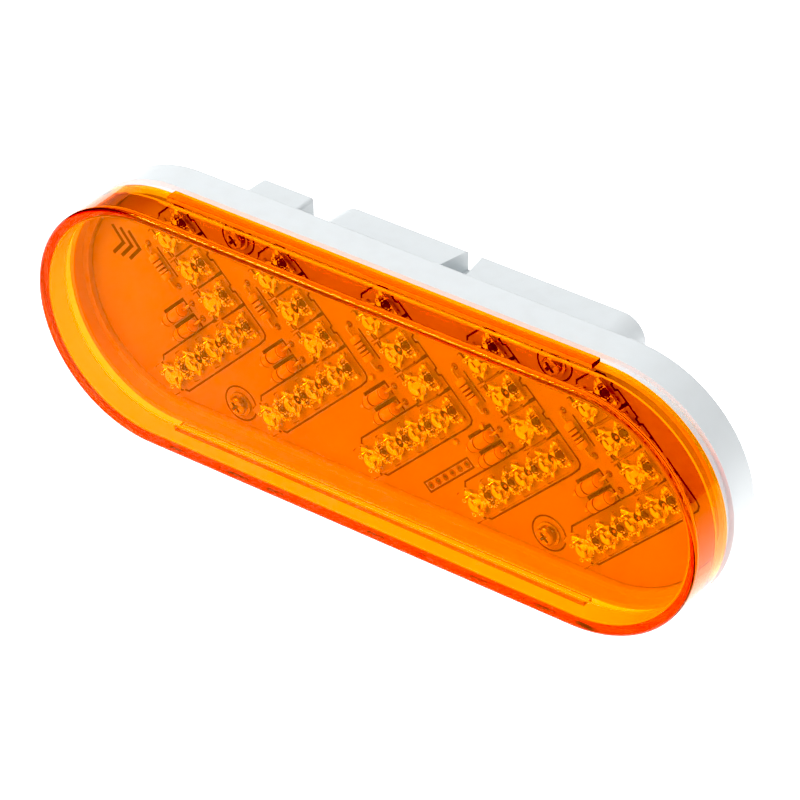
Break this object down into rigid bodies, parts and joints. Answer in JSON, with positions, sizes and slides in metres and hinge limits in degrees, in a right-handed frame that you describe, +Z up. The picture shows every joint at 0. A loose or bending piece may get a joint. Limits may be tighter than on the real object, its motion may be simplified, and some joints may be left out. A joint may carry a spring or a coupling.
{
  "type": "oval led turn signal lamp",
  "caption": "Sealed oval amber signal lamp with rows of small lights in arrowhead shapes, a white tray behind and a rear plug socket.",
  "frame": {"origin": "centre of the plane in which the back of the rim seats, where a panel's grommet holds the lamp", "axes": "+X along the lamp in the direction its arrowheads point, +Y from the lens towards the trailer, +Z up across the lamp"},
  "size_m": [0.165, 0.0345, 0.0592],
  "materials": {
    "amber_lens": "clear amber polycarbonate, polished",
    "white_housing": "white moulded plastic, satin",
    "seal": "matte, pale silicone",
    "board": "white solder mask on glass fibre",
    "resin": "cast resin",
    "clear_resin": "water clear moulded resin",
    "plated_frame": "silver plated",
    "light_die": "light emitting crystal",
    "brass_contact": "turned, bright",
    "diode_body": "moulded",
    "resistor_body": "lacquered",
    "black_moulding": "moulded",
    "capacitor_can": "drawn can",
    "screw_steel": "zinc plated",
    "tinned_wire": "tinned"
  },
  "bodies": {
    "root": {"ballast_resistor_leads": "tinned_wire", "ballast_resistors": "resistor_body", "board_screws": "screw_steel", "circuit_board": "board", "contact_potting": "resin", "controller_chip": "black_moulding", "controller_chip_legs": "tinned_wire", "filter_capacitor": "capacitor_can", "filter_capacitor_leads": "tinned_wire", "ground_contact": "brass_contact", "housing": "white_housing", "lens": "amber_lens", "lens_seal": "seal", "light_bodies_1": "clear_resin", "light_bodies_2": "clear_resin", "light_bodies_3": "clear_resin", "light_bodies_4": "clear_resin", "light_bodies_5": "clear_resin", "light_dies_1": "light_die", "light_dies_2": "light_die", "light_dies_3": "light_die", "light_dies_4": "light_die", "light_dies_5": "light_die", "light_frames_1": "plated_frame", "light_frames_2": "plated_frame", "light_frames_3": "plated_frame", "light_frames_4": "plated_frame", "light_frames_5": "plated_frame", "polarity_diode": "black_moulding", "polarity_diode_tabs": "tinned_wire", "rectifier_diode_leads": "tinned_wire", "rectifier_diodes": "diode_body", "surge_suppressor": "black_moulding", "surge_suppressor_tabs": "tinned_wire", "tail_contact": "brass_contact", "turn_contact": "brass_contact"}
  },
  "joints": []
}
